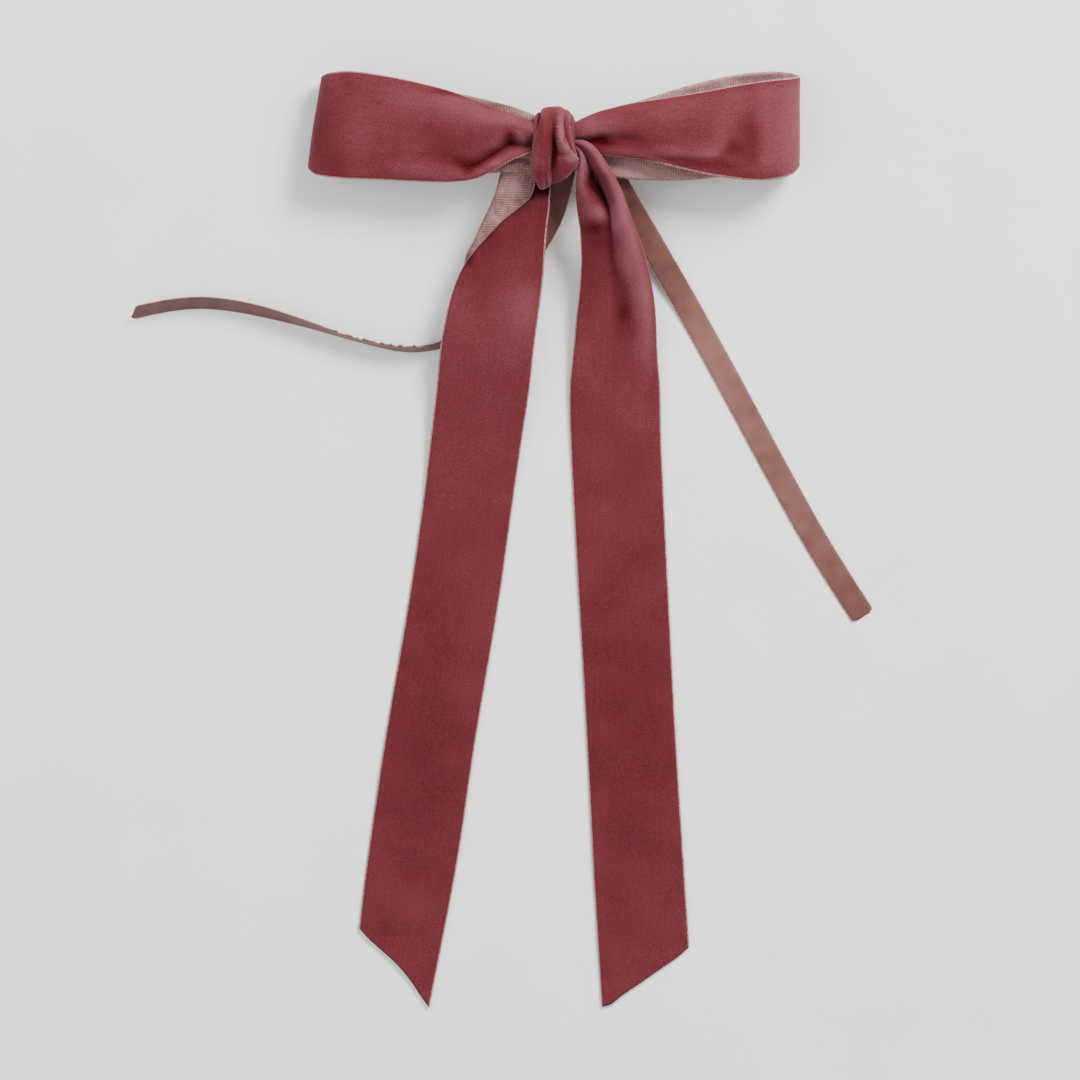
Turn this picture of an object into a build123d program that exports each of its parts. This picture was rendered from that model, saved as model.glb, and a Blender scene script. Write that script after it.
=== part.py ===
"""Velvet ribbon hair bow on a sprung metal barrette, lying face up on a flat surface.

Frame: the origin is the middle of the clasp arm's underside, on the surface the part lies on.
+X points to the bow's right as seen from the front, +Y to its top and +Z up, out of its front.
All sizes are millimetres.
"""

import math
import os

from build123d import *

# ---- Driving dimensions --------------------------------------------------------------------
# Ribbons
VELVET_WIDTH = 25.0
VELVET_THICK = 1.2
SATIN_WIDTH = 6.7
SATIN_THICK = 0.5
BAND_GAP = 0.03
TIE_OVER_BAND = 0.08
ARC_SHARE = 0.45

# Clip: an arched base plate over a straight clasp arm
CLIP_HALF = 30.0
PLATE_WIDTH = 8.0
PLATE_THICK = 0.7
PLATE_TOP = 11.0
PLATE_END_DROP = 5.0
ARM_WIDTH = 5.0
ARM_THICK = 0.8
ARM_END_BOTTOM = 1.2
ARM_JOGGLE = 2.2
ARM_END_CORNER = 1.6
BAR_WIDTH = 4.0
BAR_THICK = 0.35
BAR_HALF = 24.0
BAR_TOP = 6.65
BAR_END_TOP = 7.08

# Hinge
PIN_X = -28.0
PIN_Z = 2.5
PIN_RADIUS = 0.7
PIN_HEAD_RADIUS = 1.2
PIN_HEAD_THICK = 0.35
KNUCKLE_RADIUS = PIN_Z - ARM_END_BOTTOM
RUN_CLEARANCE = 0.05
EAR_THICK = 0.7
EAR_HALF_LENGTH = 2.0
EAR_SIDE_GAP = 0.1

# Catch
CATCH_X = 27.0
PRONG_LENGTH_X = 3.4
PRONG_THICK = 0.5
PRONG_ROOT_Y = 2.0
PRONG_ROOT_Z = 5.5
WING_REACH = 4.7
BRIDGE_GAP = 0.05
NECK_GAP = 0.15
BARB_GAP = 0.06
WINDOW_HALF_WIDTH = 3.1
WINDOW_START = 24.6
WINDOW_END = 29.8
FRAME_HALF_WIDTH = 4.5
FRAME_START = 22.6
ARM_TIP = 31.4
RIVET_RADIUS = 0.8
RIVET_GAP = 0.01
BAR_RIVET_GAP = 0.02
RIVET_HEAD_RADIUS = 1.4
RIVET_HEAD_THICK = 0.35
BAR_RIVET_X = -22.6

# Knot: a band of ribbon round the gathered loops
KNOT_HALF_X = 6.2
KNOT_HALF_Y = 11.0
KNOT_BOTTOM = 12.2
KNOT_TOP = 23.0
KNOT_WALL = 1.7
KNOT_CORNER = 4.6
KNOT_EDGE_ROUNDING = 0.7

# Loops: height of the ribbon over the surface, seen from the tails' side
LOOP_INNER_X = 0.6
LEFT_REACH = 67.5
RIGHT_REACH = 66.9
LEFT_END_HEIGHT = 12.0
RIGHT_END_HEIGHT = 15.0
LOOP_BEND_RADIUS = 2.4

FAR = 200.0


def arc_strip(half, z_mid, z_end, thick, width):
    """A strip of metal whose upper face follows one arc along X through its middle and ends."""
    top = ThreePointArc((-half, z_end), (0, z_mid), (half, z_end))
    low = ThreePointArc((half, z_end - thick), (0, z_mid - thick), (-half, z_end - thick))
    ends = [Line(top @ 1, low @ 0), Line(low @ 1, top @ 0)]
    face = make_face([top, ends[0], low, ends[1]])
    return extrude(Plane.XZ * face, width / 2, both=True)


def arc_top_at(x, half, z_mid, z_end):
    """Height at x of the upper face of an arc_strip."""
    drop = z_mid - z_end
    radius = (half**2 + drop**2) / (2 * drop)
    return z_mid - radius + math.copysign(math.sqrt(radius**2 - x**2), radius)


def plate_top_at(x):
    """Height of the base plate's upper face."""
    return arc_top_at(x, CLIP_HALF, PLATE_TOP, PLATE_TOP - PLATE_END_DROP)


def bar_top_at(x):
    """Height of the tension bar's upper face."""
    return arc_top_at(x, BAR_HALF, BAR_TOP, BAR_END_TOP)


def rod_y(radius, length, x, z):
    """A cylinder along Y, centred on y = 0."""
    return Pos(x, 0, z) * Rot(90, 0, 0) * Cylinder(radius, length)


def rod_z(radius, z_low, z_high, x):
    """A cylinder along Z between two heights."""
    return Pos(x, 0, (z_low + z_high) / 2) * Cylinder(radius, z_high - z_low)


def plan_prism(points, low=-1.0, high=40.0):
    """A vertical prism over a closed outline in plan."""
    face = make_face(Polyline(*points, close=True))
    return extrude(Pos(0, 0, low) * face, high - low)


def falling_sheet(heights, thick):
    """A sheet whose underside passes through (y, z) points, ruled along X."""
    low = Spline(*heights)
    high = Spline(*[(y, z + thick) for y, z in reversed(heights)])
    sides = [Line(low @ 1, high @ 0), Line(high @ 1, low @ 0)]
    return extrude(Plane.YZ * make_face([low, sides[0], high, sides[1]]), FAR, both=True)


def ribbon_route(points):
    """A plan route of straight runs joined by arcs nearly as large as the runs allow."""
    steps = [Vector(*b) - Vector(*a) for a, b in zip(points, points[1:])]
    radii = []
    for before, after in zip(steps, steps[1:]):
        half_turn = math.radians(before.get_angle(after)) / 2
        radii.append(ARC_SHARE * min(before.length, after.length) / math.tan(half_turn))
    return FilletPolyline(*points, radius=radii)


# ---- Clip ----------------------------------------------------------------------------------
def base_plate():
    """The arched plate that carries the bow, with two ears bent down for the hinge."""
    plate = arc_strip(CLIP_HALF, PLATE_TOP, PLATE_TOP - PLATE_END_DROP, PLATE_THICK, PLATE_WIDTH)
    ear_inner = ARM_WIDTH / 2 + EAR_SIDE_GAP
    ear_top = plate_top_at(PIN_X) - PLATE_THICK / 2
    profile = Pos(PIN_X, (EAR_HALF_LENGTH + ear_top) / 2) * Rectangle(
        2 * EAR_HALF_LENGTH, ear_top - EAR_HALF_LENGTH
    )
    profile += Pos(PIN_X, EAR_HALF_LENGTH) * Circle(EAR_HALF_LENGTH)
    ear = extrude(Plane.XZ * profile, EAR_THICK / 2, both=True)
    for side in (-1, 1):
        plate += Pos(0, side * (ear_inner + EAR_THICK / 2), 0) * ear
    plate -= rod_y(PIN_RADIUS, 4 * PLATE_WIDTH, PIN_X, PIN_Z)
    for x in (BAR_RIVET_X, CATCH_X):
        plate -= rod_z(RIVET_RADIUS, PIN_Z, PLATE_TOP + 1, x)
    return plate


def hinge_pin():
    """The pin through both ears and the arm's knuckle, with a head at each end."""
    length = ARM_WIDTH + 2 * (EAR_SIDE_GAP + EAR_THICK)
    pin = rod_y(PIN_RADIUS, length, PIN_X, PIN_Z)
    for side in (-1, 1):
        y = side * (length + PIN_HEAD_THICK) / 2
        pin += Pos(0, y, 0) * rod_y(PIN_HEAD_RADIUS, PIN_HEAD_THICK, PIN_X, PIN_Z)
    return pin


def clasp_arm():
    """The arm: a rolled knuckle, a strip that steps down to the surface and a windowed end."""
    end_z = ARM_END_BOTTOM + ARM_THICK / 2
    mid_z = ARM_THICK / 2
    line = Polyline(
        (PIN_X, end_z),
        (PIN_X + 1.6, end_z),
        (PIN_X + 1.6 + ARM_JOGGLE, mid_z),
        (FRAME_START - 0.6 - ARM_JOGGLE, mid_z),
        (FRAME_START - 0.6, end_z),
        (FRAME_START + 1, end_z),
    )
    strip = extrude(Plane.XZ * trace(line, ARM_THICK), ARM_WIDTH / 2, both=True)
    strip &= Pos(0, 0, FAR / 2) * Box(FAR, FAR, FAR)
    frame = Rectangle(ARM_TIP - FRAME_START, 2 * FRAME_HALF_WIDTH)
    frame = fillet(frame.vertices(), ARM_END_CORNER)
    end = extrude(Pos((FRAME_START + ARM_TIP) / 2, 0, ARM_END_BOTTOM) * frame, ARM_THICK)
    window = Pos((WINDOW_START + WINDOW_END) / 2, 0, end_z) * Box(
        WINDOW_END - WINDOW_START, 2 * WINDOW_HALF_WIDTH, 3 * ARM_THICK
    )
    knuckle = rod_y(KNUCKLE_RADIUS, ARM_WIDTH, PIN_X, PIN_Z)
    bore = rod_y(PIN_RADIUS + RUN_CLEARANCE, 2 * ARM_WIDTH, PIN_X, PIN_Z)
    return strip + end + knuckle - window - bore


def tension_bar():
    """The thin spring strip that bows towards the arm and grips the hair."""
    bar = arc_strip(BAR_HALF, BAR_TOP, BAR_END_TOP, BAR_THICK, BAR_WIDTH)
    return bar - rod_z(RIVET_RADIUS, PIN_Z, PLATE_TOP, BAR_RIVET_X)


def catch_bridge():
    """The flat middle of the catch spring, riveted under the plate."""
    top = plate_top_at(CATCH_X + PRONG_LENGTH_X / 2) - PLATE_THICK
    bridge = Pos(CATCH_X, 0, top - PRONG_THICK / 2) * Box(
        PRONG_LENGTH_X, 2 * (PRONG_ROOT_Y - PRONG_THICK / 2 - BRIDGE_GAP), PRONG_THICK
    )
    return bridge - rod_z(RIVET_RADIUS, PIN_Z, PLATE_TOP, CATCH_X)


def catch_prong(side):
    """One sprung leg of the catch: a finger wing, a neck in the arm's window and a barbed tip."""
    neck = WINDOW_HALF_WIDTH - NECK_GAP - PRONG_THICK / 2
    line = Polyline(
        (PRONG_ROOT_Y, PRONG_ROOT_Z - 0.1),
        (WING_REACH - PRONG_THICK / 2, 4.2),
        (neck, 2.9),
        (neck, PRONG_THICK / 2 + 0.55),
        (neck - 0.55, PRONG_THICK / 2),
    )
    leg = trace(line, PRONG_THICK)
    barb = make_face(
        Polyline(
            (neck, 0.75),
            (WINDOW_HALF_WIDTH - BARB_GAP, 0.95),
            (neck, 1.15),
            close=True,
        )
    )
    profile = mirror(leg + barb, Plane.YZ) if side < 0 else leg + barb
    prong = extrude(Plane.YZ * profile, PRONG_LENGTH_X / 2, both=True)
    return Pos(CATCH_X, 0, 0) * prong


def rivets():
    """Two rivets: one holds the tension bar, the other the catch spring."""
    stacks = [
        (BAR_RIVET_X, bar_top_at(abs(BAR_RIVET_X) - RIVET_HEAD_RADIUS) - BAR_THICK - BAR_RIVET_GAP),
        (CATCH_X, plate_top_at(CATCH_X + PRONG_LENGTH_X / 2) - PLATE_THICK - PRONG_THICK),
    ]
    made = []
    for x, under in stacks:
        over = plate_top_at(abs(x) - RIVET_HEAD_RADIUS)
        rivet = rod_z(RIVET_RADIUS - RIVET_GAP, under, over, x)
        rivet += rod_z(RIVET_HEAD_RADIUS, under - RIVET_HEAD_THICK, under, x)
        rivet += rod_z(RIVET_HEAD_RADIUS, over, over + RIVET_HEAD_THICK, x)
        made.append(rivet)
    return Compound(children=made)


# ---- Satin tie -----------------------------------------------------------------------------
def tie_band():
    """The middle of the satin ribbon, wrapped round the base plate behind the knot."""
    sag = PLATE_TOP - plate_top_at(SATIN_WIDTH / 2)
    z_low = PLATE_TOP - PLATE_THICK - sag - BAND_GAP
    z_high = PLATE_TOP + BAND_GAP
    inner_y = PLATE_WIDTH / 2 + BAND_GAP
    outer = Pos(0, 0, (z_low + z_high) / 2) * Box(
        SATIN_WIDTH, 2 * (inner_y + SATIN_THICK), z_high - z_low + 2 * SATIN_THICK
    )
    inner = Pos(0, 0, (z_low + z_high) / 2) * Box(
        2 * SATIN_WIDTH, 2 * inner_y, z_high - z_low
    )
    return outer - inner


LEFT_TIE_ROUTE = [
    (2.2, -4.75),
    (0.6, -15.0),
    (-5.5, -27.0),
    (-14.0, -40.5),
    (-24.5, -51.5),
    (-38.0, -56.2),
    (-54.0, -53.4),
    (-72.0, -47.3),
    (-90.0, -42.8),
    (-105.0, -42.2),
    (-117.3, -45.3),
]
RIGHT_TIE_ROUTE = [
    (2.8, 5.4),
    (13.9, -4.9),
    (22.6, -19.6),
    (34.6, -40.0),
    (48.6, -65.4),
    (62.4, -91.3),
    (74.6, -113.2),
    (85.4, -129.6),
]


def left_tie():
    """The left end of the satin ribbon: it drops from the band and stands on its edge."""
    strip = extrude(trace(ribbon_route(LEFT_TIE_ROUTE), SATIN_THICK), 20)
    side_view = Polyline(
        (-4.0, 4.4),
        (-4.0, 8.8),
        (-14.0, 8.6),
        (-30.0, SATIN_WIDTH),
        (-70.0, SATIN_WIDTH),
        (-70.0, 0.0),
        (-30.0, 0.0),
        (-14.0, 3.2),
        close=True,
    )
    return strip & extrude(Plane.YZ * make_face(side_view), FAR, both=True)


def right_tie():
    """The right end of the satin ribbon: over the plate, then down to lie flat."""
    strip = extrude(trace(ribbon_route(RIGHT_TIE_ROUTE), SATIN_WIDTH), 20)
    over_band = PLATE_TOP + TIE_OVER_BAND + SATIN_THICK
    fall = FilletPolyline(
        (12.0, over_band),
        (-6.0, over_band),
        (-22.0, 3.8),
        (-38.0, 0.0),
        (-140.0, 0.0),
        radius=[12, 60, 20],
    )
    profile = Pos(0, SATIN_THICK / 2) * trace(fall, SATIN_THICK)
    return strip & extrude(Plane.YZ * profile, FAR, both=True)


# ---- Velvet bow ----------------------------------------------------------------------------
def knot():
    """The ribbon wrapped round the middle of the bow, as a band with rounded corners."""
    height = KNOT_TOP - KNOT_BOTTOM
    outer = RectangleRounded(2 * KNOT_HALF_Y, height, KNOT_CORNER)
    inner = RectangleRounded(
        2 * (KNOT_HALF_Y - KNOT_WALL), height - 2 * KNOT_WALL, KNOT_CORNER - KNOT_WALL
    )
    middle = (KNOT_TOP + KNOT_BOTTOM) / 2
    band = extrude(Plane.YZ * (Pos(0, middle) * (outer - inner)), KNOT_HALF_X, both=True)
    return fillet(band.edges().group_by(Axis.X)[0] + band.edges().group_by(Axis.X)[-1], KNOT_EDGE_ROUNDING)


def loop_band(side, reach, end_height):
    """A loop's ribbon seen from the tails' side: out along the back, round, and back in front."""
    outline = [
        (LOOP_INNER_X, 13.5),
        (19.0, 13.3),
        (36.0, 8.4),
        (53.0, 0.9),
        (reach - 3.0, 0.0),
        (reach, 4.5),
        (reach, end_height - 3.0),
        (reach - 5.0, end_height),
        (34.0, end_height + 5.0),
        (12.0, 20.9),
        (LOOP_INNER_X, 19.9),
    ]
    outer = make_face(Polyline(*outline, close=True))
    outer = fillet(outer.vertices().sort_by(Axis.X)[2:], LOOP_BEND_RADIUS)
    inner = offset(outer, -VELVET_THICK)
    ring = outer - inner
    if side < 0:
        ring = mirror(ring, Plane.YZ)
    return extrude(Plane.XZ * ring, 40, both=True)


def left_loop():
    """The left loop, wide at its end and gathered into the knot."""
    plan = [
        (-LOOP_INNER_X, 8.0),
        (-7.0, 9.3),
        (-29.4, 16.2),
        (-59.0, 21.6),
        (-64.0, 20.2),
        (-67.6, -2.0),
        (-66.0, -6.8),
        (-62.0, -8.0),
        (-29.4, -9.4),
        (-15.6, -7.2),
        (-LOOP_INNER_X, -7.0),
    ]
    return loop_band(-1, LEFT_REACH, LEFT_END_HEIGHT) & plan_prism(plan)


def right_loop():
    """The right loop, which stands a little more open than the left one."""
    plan = [
        (LOOP_INNER_X, 7.0),
        (7.2, 8.4),
        (17.8, 11.9),
        (40.0, 18.9),
        (52.0, 21.3),
        (62.5, 21.9),
        (66.9, 19.5),
        (66.9, -5.0),
        (64.5, -8.0),
        (56.0, -8.9),
        (40.0, -8.2),
        (28.9, -8.6),
        (12.0, -7.3),
        (LOOP_INNER_X, -6.5),
    ]
    return loop_band(1, RIGHT_REACH, RIGHT_END_HEIGHT) & plan_prism(plan)


def left_tail():
    """The left tail: it comes from under the left loop and falls to the surface."""
    plan = [
        (-14.6, -7.5),
        (-29.7, -42.5),
        (-32.0, -58.0),
        (-54.8, -216.0),
        (-35.0, -238.7),
        (-30.3, -214.0),
        (-6.4, -58.0),
        (-3.4, -33.0),
        (-1.4, -11.1),
        (-5.0, -7.0),
    ]
    heights = [
        (-4.6, 11.4),
        (-25.0, 9.9),
        (-45.0, 8.6),
        (-58.0, 6.9),
        (-76.0, 2.6),
        (-96.0, 0.0),
        (-150.0, 0.0),
        (-200.0, 0.0),
        (-245.0, 0.0),
    ]
    return flat_from(falling_sheet(heights, VELVET_THICK), plan)


def right_tail():
    """The right tail: it comes over the right loop beside the knot and falls to the surface."""
    plan = [
        (6.3, 0.8),
        (10.5, 0.6),
        (14.6, -5.0),
        (20.0, -18.0),
        (25.6, -33.5),
        (28.6, -58.0),
        (36.9, -221.0),
        (12.8, -238.7),
        (4.2, -58.0),
        (6.3, -16.0),
    ]
    heights = [
        (3.0, 21.6),
        (-9.0, 20.9),
        (-24.0, 13.6),
        (-44.0, 6.2),
        (-70.0, 0.9),
        (-84.0, 0.0),
        (-150.0, 0.0),
        (-200.0, 0.0),
        (-245.0, 0.0),
    ]
    return flat_from(falling_sheet(heights, VELVET_THICK), plan)


def flat_from(sheet, plan):
    """A tail cut from its sheet, kept at or above the surface it lies on."""
    above = Pos(0, 0, 20) * Box(2 * FAR, 3 * FAR, 40)
    return sheet & plan_prism(plan) & above


def main():
    nodes = {
        "clip_base_plate": base_plate(),
        "hinge_pin": hinge_pin(),
        "clasp_arm": clasp_arm(),
        "tension_bar": tension_bar(),
        "catch_bridge": catch_bridge(),
        "catch_prong_upper": catch_prong(1),
        "catch_prong_lower": catch_prong(-1),
        "clip_rivets": rivets(),
        "tie_band": tie_band(),
        "left_tie": left_tie(),
        "right_tie": right_tie(),
        "knot": knot(),
        "left_loop": left_loop(),
        "right_loop": right_loop(),
        "left_tail": left_tail(),
        "right_tail": right_tail(),
    }
    os.makedirs("parts", exist_ok=True)
    for name, shape in nodes.items():
        export_step(shape, os.path.join("parts", name + ".step"))


main()
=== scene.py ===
"""Looks for the velvet bow barrette: one velvet ribbon tied in a bow, a satin tie and the clip.

Everything is in the CAD frame: +X to the bow's right, +Y to its top, +Z out of its front. Shape
values are in millimetres and become metres in one place, when a mesh is made.

The tables of folds hold cross-sections, one row for each place along a ribbon. A stroke is
(x, y, reach_x, reach_y, amount): a soft patch of painted light and shade, with some of the pile's
own tone, lighter above 0.
"""

import math

import bpy
import numpy as np
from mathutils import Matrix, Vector, noise


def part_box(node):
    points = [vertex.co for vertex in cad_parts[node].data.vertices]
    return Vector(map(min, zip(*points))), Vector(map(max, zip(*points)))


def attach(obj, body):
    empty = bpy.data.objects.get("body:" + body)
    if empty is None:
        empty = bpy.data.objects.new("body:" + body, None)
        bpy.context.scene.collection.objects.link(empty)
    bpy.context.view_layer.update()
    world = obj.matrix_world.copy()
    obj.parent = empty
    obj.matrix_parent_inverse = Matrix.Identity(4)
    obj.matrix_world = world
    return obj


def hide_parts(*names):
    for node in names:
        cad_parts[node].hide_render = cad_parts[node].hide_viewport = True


MM = 0.001

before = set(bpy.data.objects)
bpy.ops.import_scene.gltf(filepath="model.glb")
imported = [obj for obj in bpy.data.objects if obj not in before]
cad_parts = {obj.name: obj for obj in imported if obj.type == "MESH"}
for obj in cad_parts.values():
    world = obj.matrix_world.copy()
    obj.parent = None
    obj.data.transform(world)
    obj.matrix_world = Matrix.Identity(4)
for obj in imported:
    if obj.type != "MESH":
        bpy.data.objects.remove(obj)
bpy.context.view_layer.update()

VELVET_THICK = 1.0
SATIN_WIDTH = 6.7
SATIN_THICK = 0.28
LYING_Z = 0.65
EDGE_THINNING = 0.35
PICOT_SIDES = 6
PICOT_WAIST = 0.62
PICOT_FLATNESS = 1.25
FRONT_SLOT, BACK_SLOT, EDGE_SLOT = 0, 1, 2


# ---- Small numeric helpers -------------------------------------------------------------------
def through(points, places, wanted):
    """A smooth curve through points at given places, read at the wanted places."""
    points = np.asarray(points, float)
    places = np.asarray(places, float)
    column = (-1,) + (1,) * (points.ndim - 1)
    slopes = np.empty_like(points)
    slopes[1:-1] = (points[2:] - points[:-2]) / (places[2:] - places[:-2]).reshape(column)
    slopes[0] = (points[1] - points[0]) / (places[1] - places[0])
    slopes[-1] = (points[-1] - points[-2]) / (places[-1] - places[-2])
    left = np.clip(np.searchsorted(places, wanted, side="right") - 1, 0, len(places) - 2)
    span = (places[left + 1] - places[left]).reshape(column)
    t = (np.asarray(wanted) - places[left]).reshape(column) / span
    return (
        (2 * t**3 - 3 * t**2 + 1) * points[left]
        + (t**3 - 2 * t**2 + t) * span * slopes[left]
        + (3 * t**2 - 2 * t**3) * points[left + 1]
        + (t**3 - t**2) * span * slopes[left + 1]
    )


def running_total(steps):
    """The running total of steps, from zero."""
    return np.concatenate([[0.0], np.cumsum(steps)])


def lengths_along(points):
    """The running length at each point of a line."""
    return running_total(np.linalg.norm(np.diff(points, axis=0), axis=-1))


def even_line(points, step):
    """The same line with points about one step apart."""
    run = lengths_along(points)
    count = max(2, int(round(run[-1] / step)) + 1)
    wanted = np.linspace(0, run[-1], count)
    return np.stack([np.interp(wanted, run, points[:, i]) for i in range(3)], axis=1)


def surface_from(sections, step=0.7, across=43, edge=0.017):
    """A dense grid of points over hand-placed cross-sections, with a narrow cell at each edge."""
    net = np.asarray(sections, float)
    count = net.shape[1]
    wanted = (count - 1) * np.array([0, *np.linspace(edge, 1 - edge, across - 2), 1])
    smooth = through(net.transpose(1, 0, 2), np.arange(count), wanted).transpose(1, 0, 2)
    run = running_total(np.linalg.norm(np.diff(smooth, axis=0), axis=-1).mean(axis=1))
    count = max(3, int(round(run[-1] / step)) + 1)
    return through(smooth, run, np.linspace(0, run[-1], count))


def unit(vectors):
    """The vectors at length 1."""
    return vectors / np.maximum(np.linalg.norm(vectors, axis=-1, keepdims=True), 1e-9)


def grid_normals(grid):
    """Unit normals of a grid of points."""
    return unit(np.cross(np.gradient(grid, axis=1), np.gradient(grid, axis=0)))


def blurred(grid, reach):
    """The grid averaged over a square of cells, continued straight past its borders."""
    out = grid
    for axis in (0, 1):
        out = np.moveaxis(out, axis, 0)
        size = min(reach, len(out) - 1)
        before = 2 * out[:1] - out[size:0:-1]
        after = 2 * out[-1:] - out[-2:-size - 2:-1]
        padded = np.concatenate([before, out, after])
        total = np.cumsum(np.concatenate([np.zeros_like(padded[:1]), padded]), axis=0)
        window = 2 * size + 1
        out = (total[window:] - total[:-window]) / window
        out = np.moveaxis(out, 0, axis)
    return out


def fold_relief(grid, depth):
    """How far each point stands on a ridge (to 1) or down in a crease (to -1)."""
    normals = grid_normals(grid)
    near, wide = (((grid - blurred(grid, reach)) * normals).sum(axis=-1) for reach in (4, 9))
    return np.tanh((near * 1.2 + wide * 0.5) / depth)


def painted_light_and_pile(grid, strokes):
    """Painted light and shade from the strokes over a grid, with some of the pile's own tone."""
    tone = np.zeros(grid.shape[:2])
    for x, y, reach_x, reach_y, amount in strokes:
        away = ((grid[..., 0] - x) / reach_x) ** 2 + ((grid[..., 1] - y) / reach_y) ** 2
        tone += amount * np.exp(-away)
    return tone


def ruffle(grid, amount, size, seed):
    """Gives a grid the slight unevenness of soft cloth."""
    rows, cols = grid.shape[:2]
    lift = np.empty((rows, cols, 1))
    for i in range(rows):
        for j in range(cols):
            lift[i, j, 0] = noise.noise(Vector(grid[i, j] / size) + Vector((seed, 0, 0)))
    return grid + grid_normals(grid) * lift * amount


# ---- Mesh makers -----------------------------------------------------------------------------
def new_object(name, verts, faces, materials, slots=None, strip=None):
    """A smooth-shaded mesh object from points in millimetres."""
    mesh = bpy.data.meshes.new(name)
    mesh.from_pydata([tuple(v) for v in np.asarray(verts) * MM], [], faces)
    for material in materials:
        mesh.materials.append(material)
    if slots is not None:
        mesh.polygons.foreach_set("material_index", slots)
    mesh.polygons.foreach_set("use_smooth", [True] * len(mesh.polygons))
    if strip is not None:
        attribute = mesh.attributes.new("strip", "FLOAT_VECTOR", "POINT")
        scaled = np.asarray(strip, float) * (MM, MM, 1.0)
        attribute.data.foreach_set("vector", scaled.ravel())
    mesh.validate()
    mesh.update()
    obj = bpy.data.objects.new(name, mesh)
    bpy.context.scene.collection.objects.link(obj)
    return obj


def shell(name, grid, thick, materials, rounding=0.9, depth=0.45, strokes=()):
    """A closed ribbon: front and back faces over a grid of points, thinner at both long edges."""
    rows, cols = grid.shape[:2]
    widths = np.linalg.norm(np.diff(grid, axis=1), axis=-1)
    across = np.concatenate([np.zeros((rows, 1)), np.cumsum(widths, axis=1)], axis=1)
    near = np.clip(np.minimum(across, across[:, -1:] - across) / rounding, 0, 1)
    half = thick / 2 * (EDGE_THINNING + (1 - EDGE_THINNING) * np.sqrt(1 - (1 - near) ** 2))
    outward = grid_normals(grid) * half[..., None]
    verts = np.concatenate([(grid + outward).reshape(-1, 3), (grid - outward).reshape(-1, 3)])
    strip = np.zeros((rows, cols, 3))
    along_gaps = np.linalg.norm(np.diff(grid, axis=0), axis=-1).mean(axis=1)
    strip[..., 0] = running_total(along_gaps)[:, None]
    strip[..., 1] = across - across[:, -1:] / 2
    # The third channel is painted light and shade: lighter on ridges, darker in creases, plus the
    # strokes' painted patches.
    strip[..., 2] = fold_relief(grid, depth) + painted_light_and_pile(grid, strokes)
    strips = np.concatenate([strip.reshape(-1, 3), strip.reshape(-1, 3)])
    index = np.arange(rows * cols).reshape(rows, cols)
    to_back = rows * cols
    faces, slots = [], []
    for i in range(rows - 1):
        for j in range(cols - 1):
            a, b, c, d = index[i, j], index[i, j + 1], index[i + 1, j + 1], index[i + 1, j]
            faces += [(a, b, c, d), (a + to_back, d + to_back, c + to_back, b + to_back)]
            slots += [EDGE_SLOT, EDGE_SLOT] if j in (0, cols - 2) else [FRONT_SLOT, BACK_SLOT]
    rim = [*index[:, 0], *index[-1, 1:], *index[-2::-1, -1], *index[0, -2:0:-1]]
    for a, b in zip(rim, rim[1:] + rim[:1]):
        faces.append((a, b, b + to_back, a + to_back))
        slots.append(EDGE_SLOT)
    faces = [tuple(int(v) for v in face) for face in faces]
    return new_object(name, verts, faces, materials, slots, strips)


def picot_edges(name, lines, radius, pitch=0.62):
    """A fine beaded cord along each edge line: the ribbon's selvedge with its picot loops."""
    verts, faces = [], []
    for line in lines:
        path = even_line(np.asarray(line), pitch / 4)
        tangent = unit(np.gradient(path, axis=0))
        helper = np.where(np.abs(tangent[:, 2:]) < 0.9, [[0.0, 0.0, 1.0]], [[1.0, 0.0, 0.0]])
        side = unit(np.cross(tangent, helper))
        up = np.cross(side, tangent)
        swelling = np.abs(np.sin(np.arange(len(path)) * math.pi / 4)) ** 0.7
        bead = radius * (PICOT_WAIST + (1 - PICOT_WAIST) * swelling)
        first = len(verts)
        for k in range(len(path)):
            for s in range(PICOT_SIDES):
                angle = 2 * math.pi * s / PICOT_SIDES
                offset = side[k] * math.cos(angle) * PICOT_FLATNESS + up[k] * math.sin(angle)
                verts.append(path[k] + offset * bead[k])
        for k in range(len(path) - 1):
            for s in range(PICOT_SIDES):
                a = first + k * PICOT_SIDES + s
                b = first + k * PICOT_SIDES + (s + 1) % PICOT_SIDES
                faces.append((a, b, b + PICOT_SIDES, a + PICOT_SIDES))
        faces.append(tuple(first + s for s in reversed(range(PICOT_SIDES))))
        last = first + (len(path) - 1) * PICOT_SIDES
        faces.append(tuple(last + s for s in range(PICOT_SIDES)))
    return new_object(name, verts, faces, [SELVEDGE])


# ---- Materials -------------------------------------------------------------------------------
def node_material(name, **constants):
    """A material with its shader's constants set, and its tree, shader and object coordinates."""
    material = bpy.data.materials.new(name)
    material.use_nodes = True
    tree = material.node_tree
    shader = tree.nodes["Principled BSDF"]
    for socket, value in constants.items():
        shader.inputs[socket.replace("_", " ")].default_value = value
    return material, tree, shader, tree.nodes.new("ShaderNodeTexCoord").outputs["Object"]


def set_input(tree, socket, value):
    """Sets a socket to a value, or links another node's output to it."""
    if isinstance(value, bpy.types.NodeSocket):
        tree.links.new(value, socket)
    else:
        socket.default_value = value


def add(tree, kind, **inputs):
    """Adds a node and sets its inputs by name."""
    node = tree.nodes.new(kind)
    for key, value in inputs.items():
        set_input(tree, node.inputs[key], value)
    return node


def noise_value(tree, coords, scale, detail=2.0):
    """A noise pattern's factor at a scale per metre."""
    node = add(tree, "ShaderNodeTexNoise", Vector=coords, Scale=scale, Detail=detail)
    return node.outputs["Fac"]


def math_value(tree, operation, first, second=0.0):
    """One arithmetic node's result."""
    node = tree.nodes.new("ShaderNodeMath")
    node.operation = operation
    set_input(tree, node.inputs[0], first)
    set_input(tree, node.inputs[1], second)
    return node.outputs[0]


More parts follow.
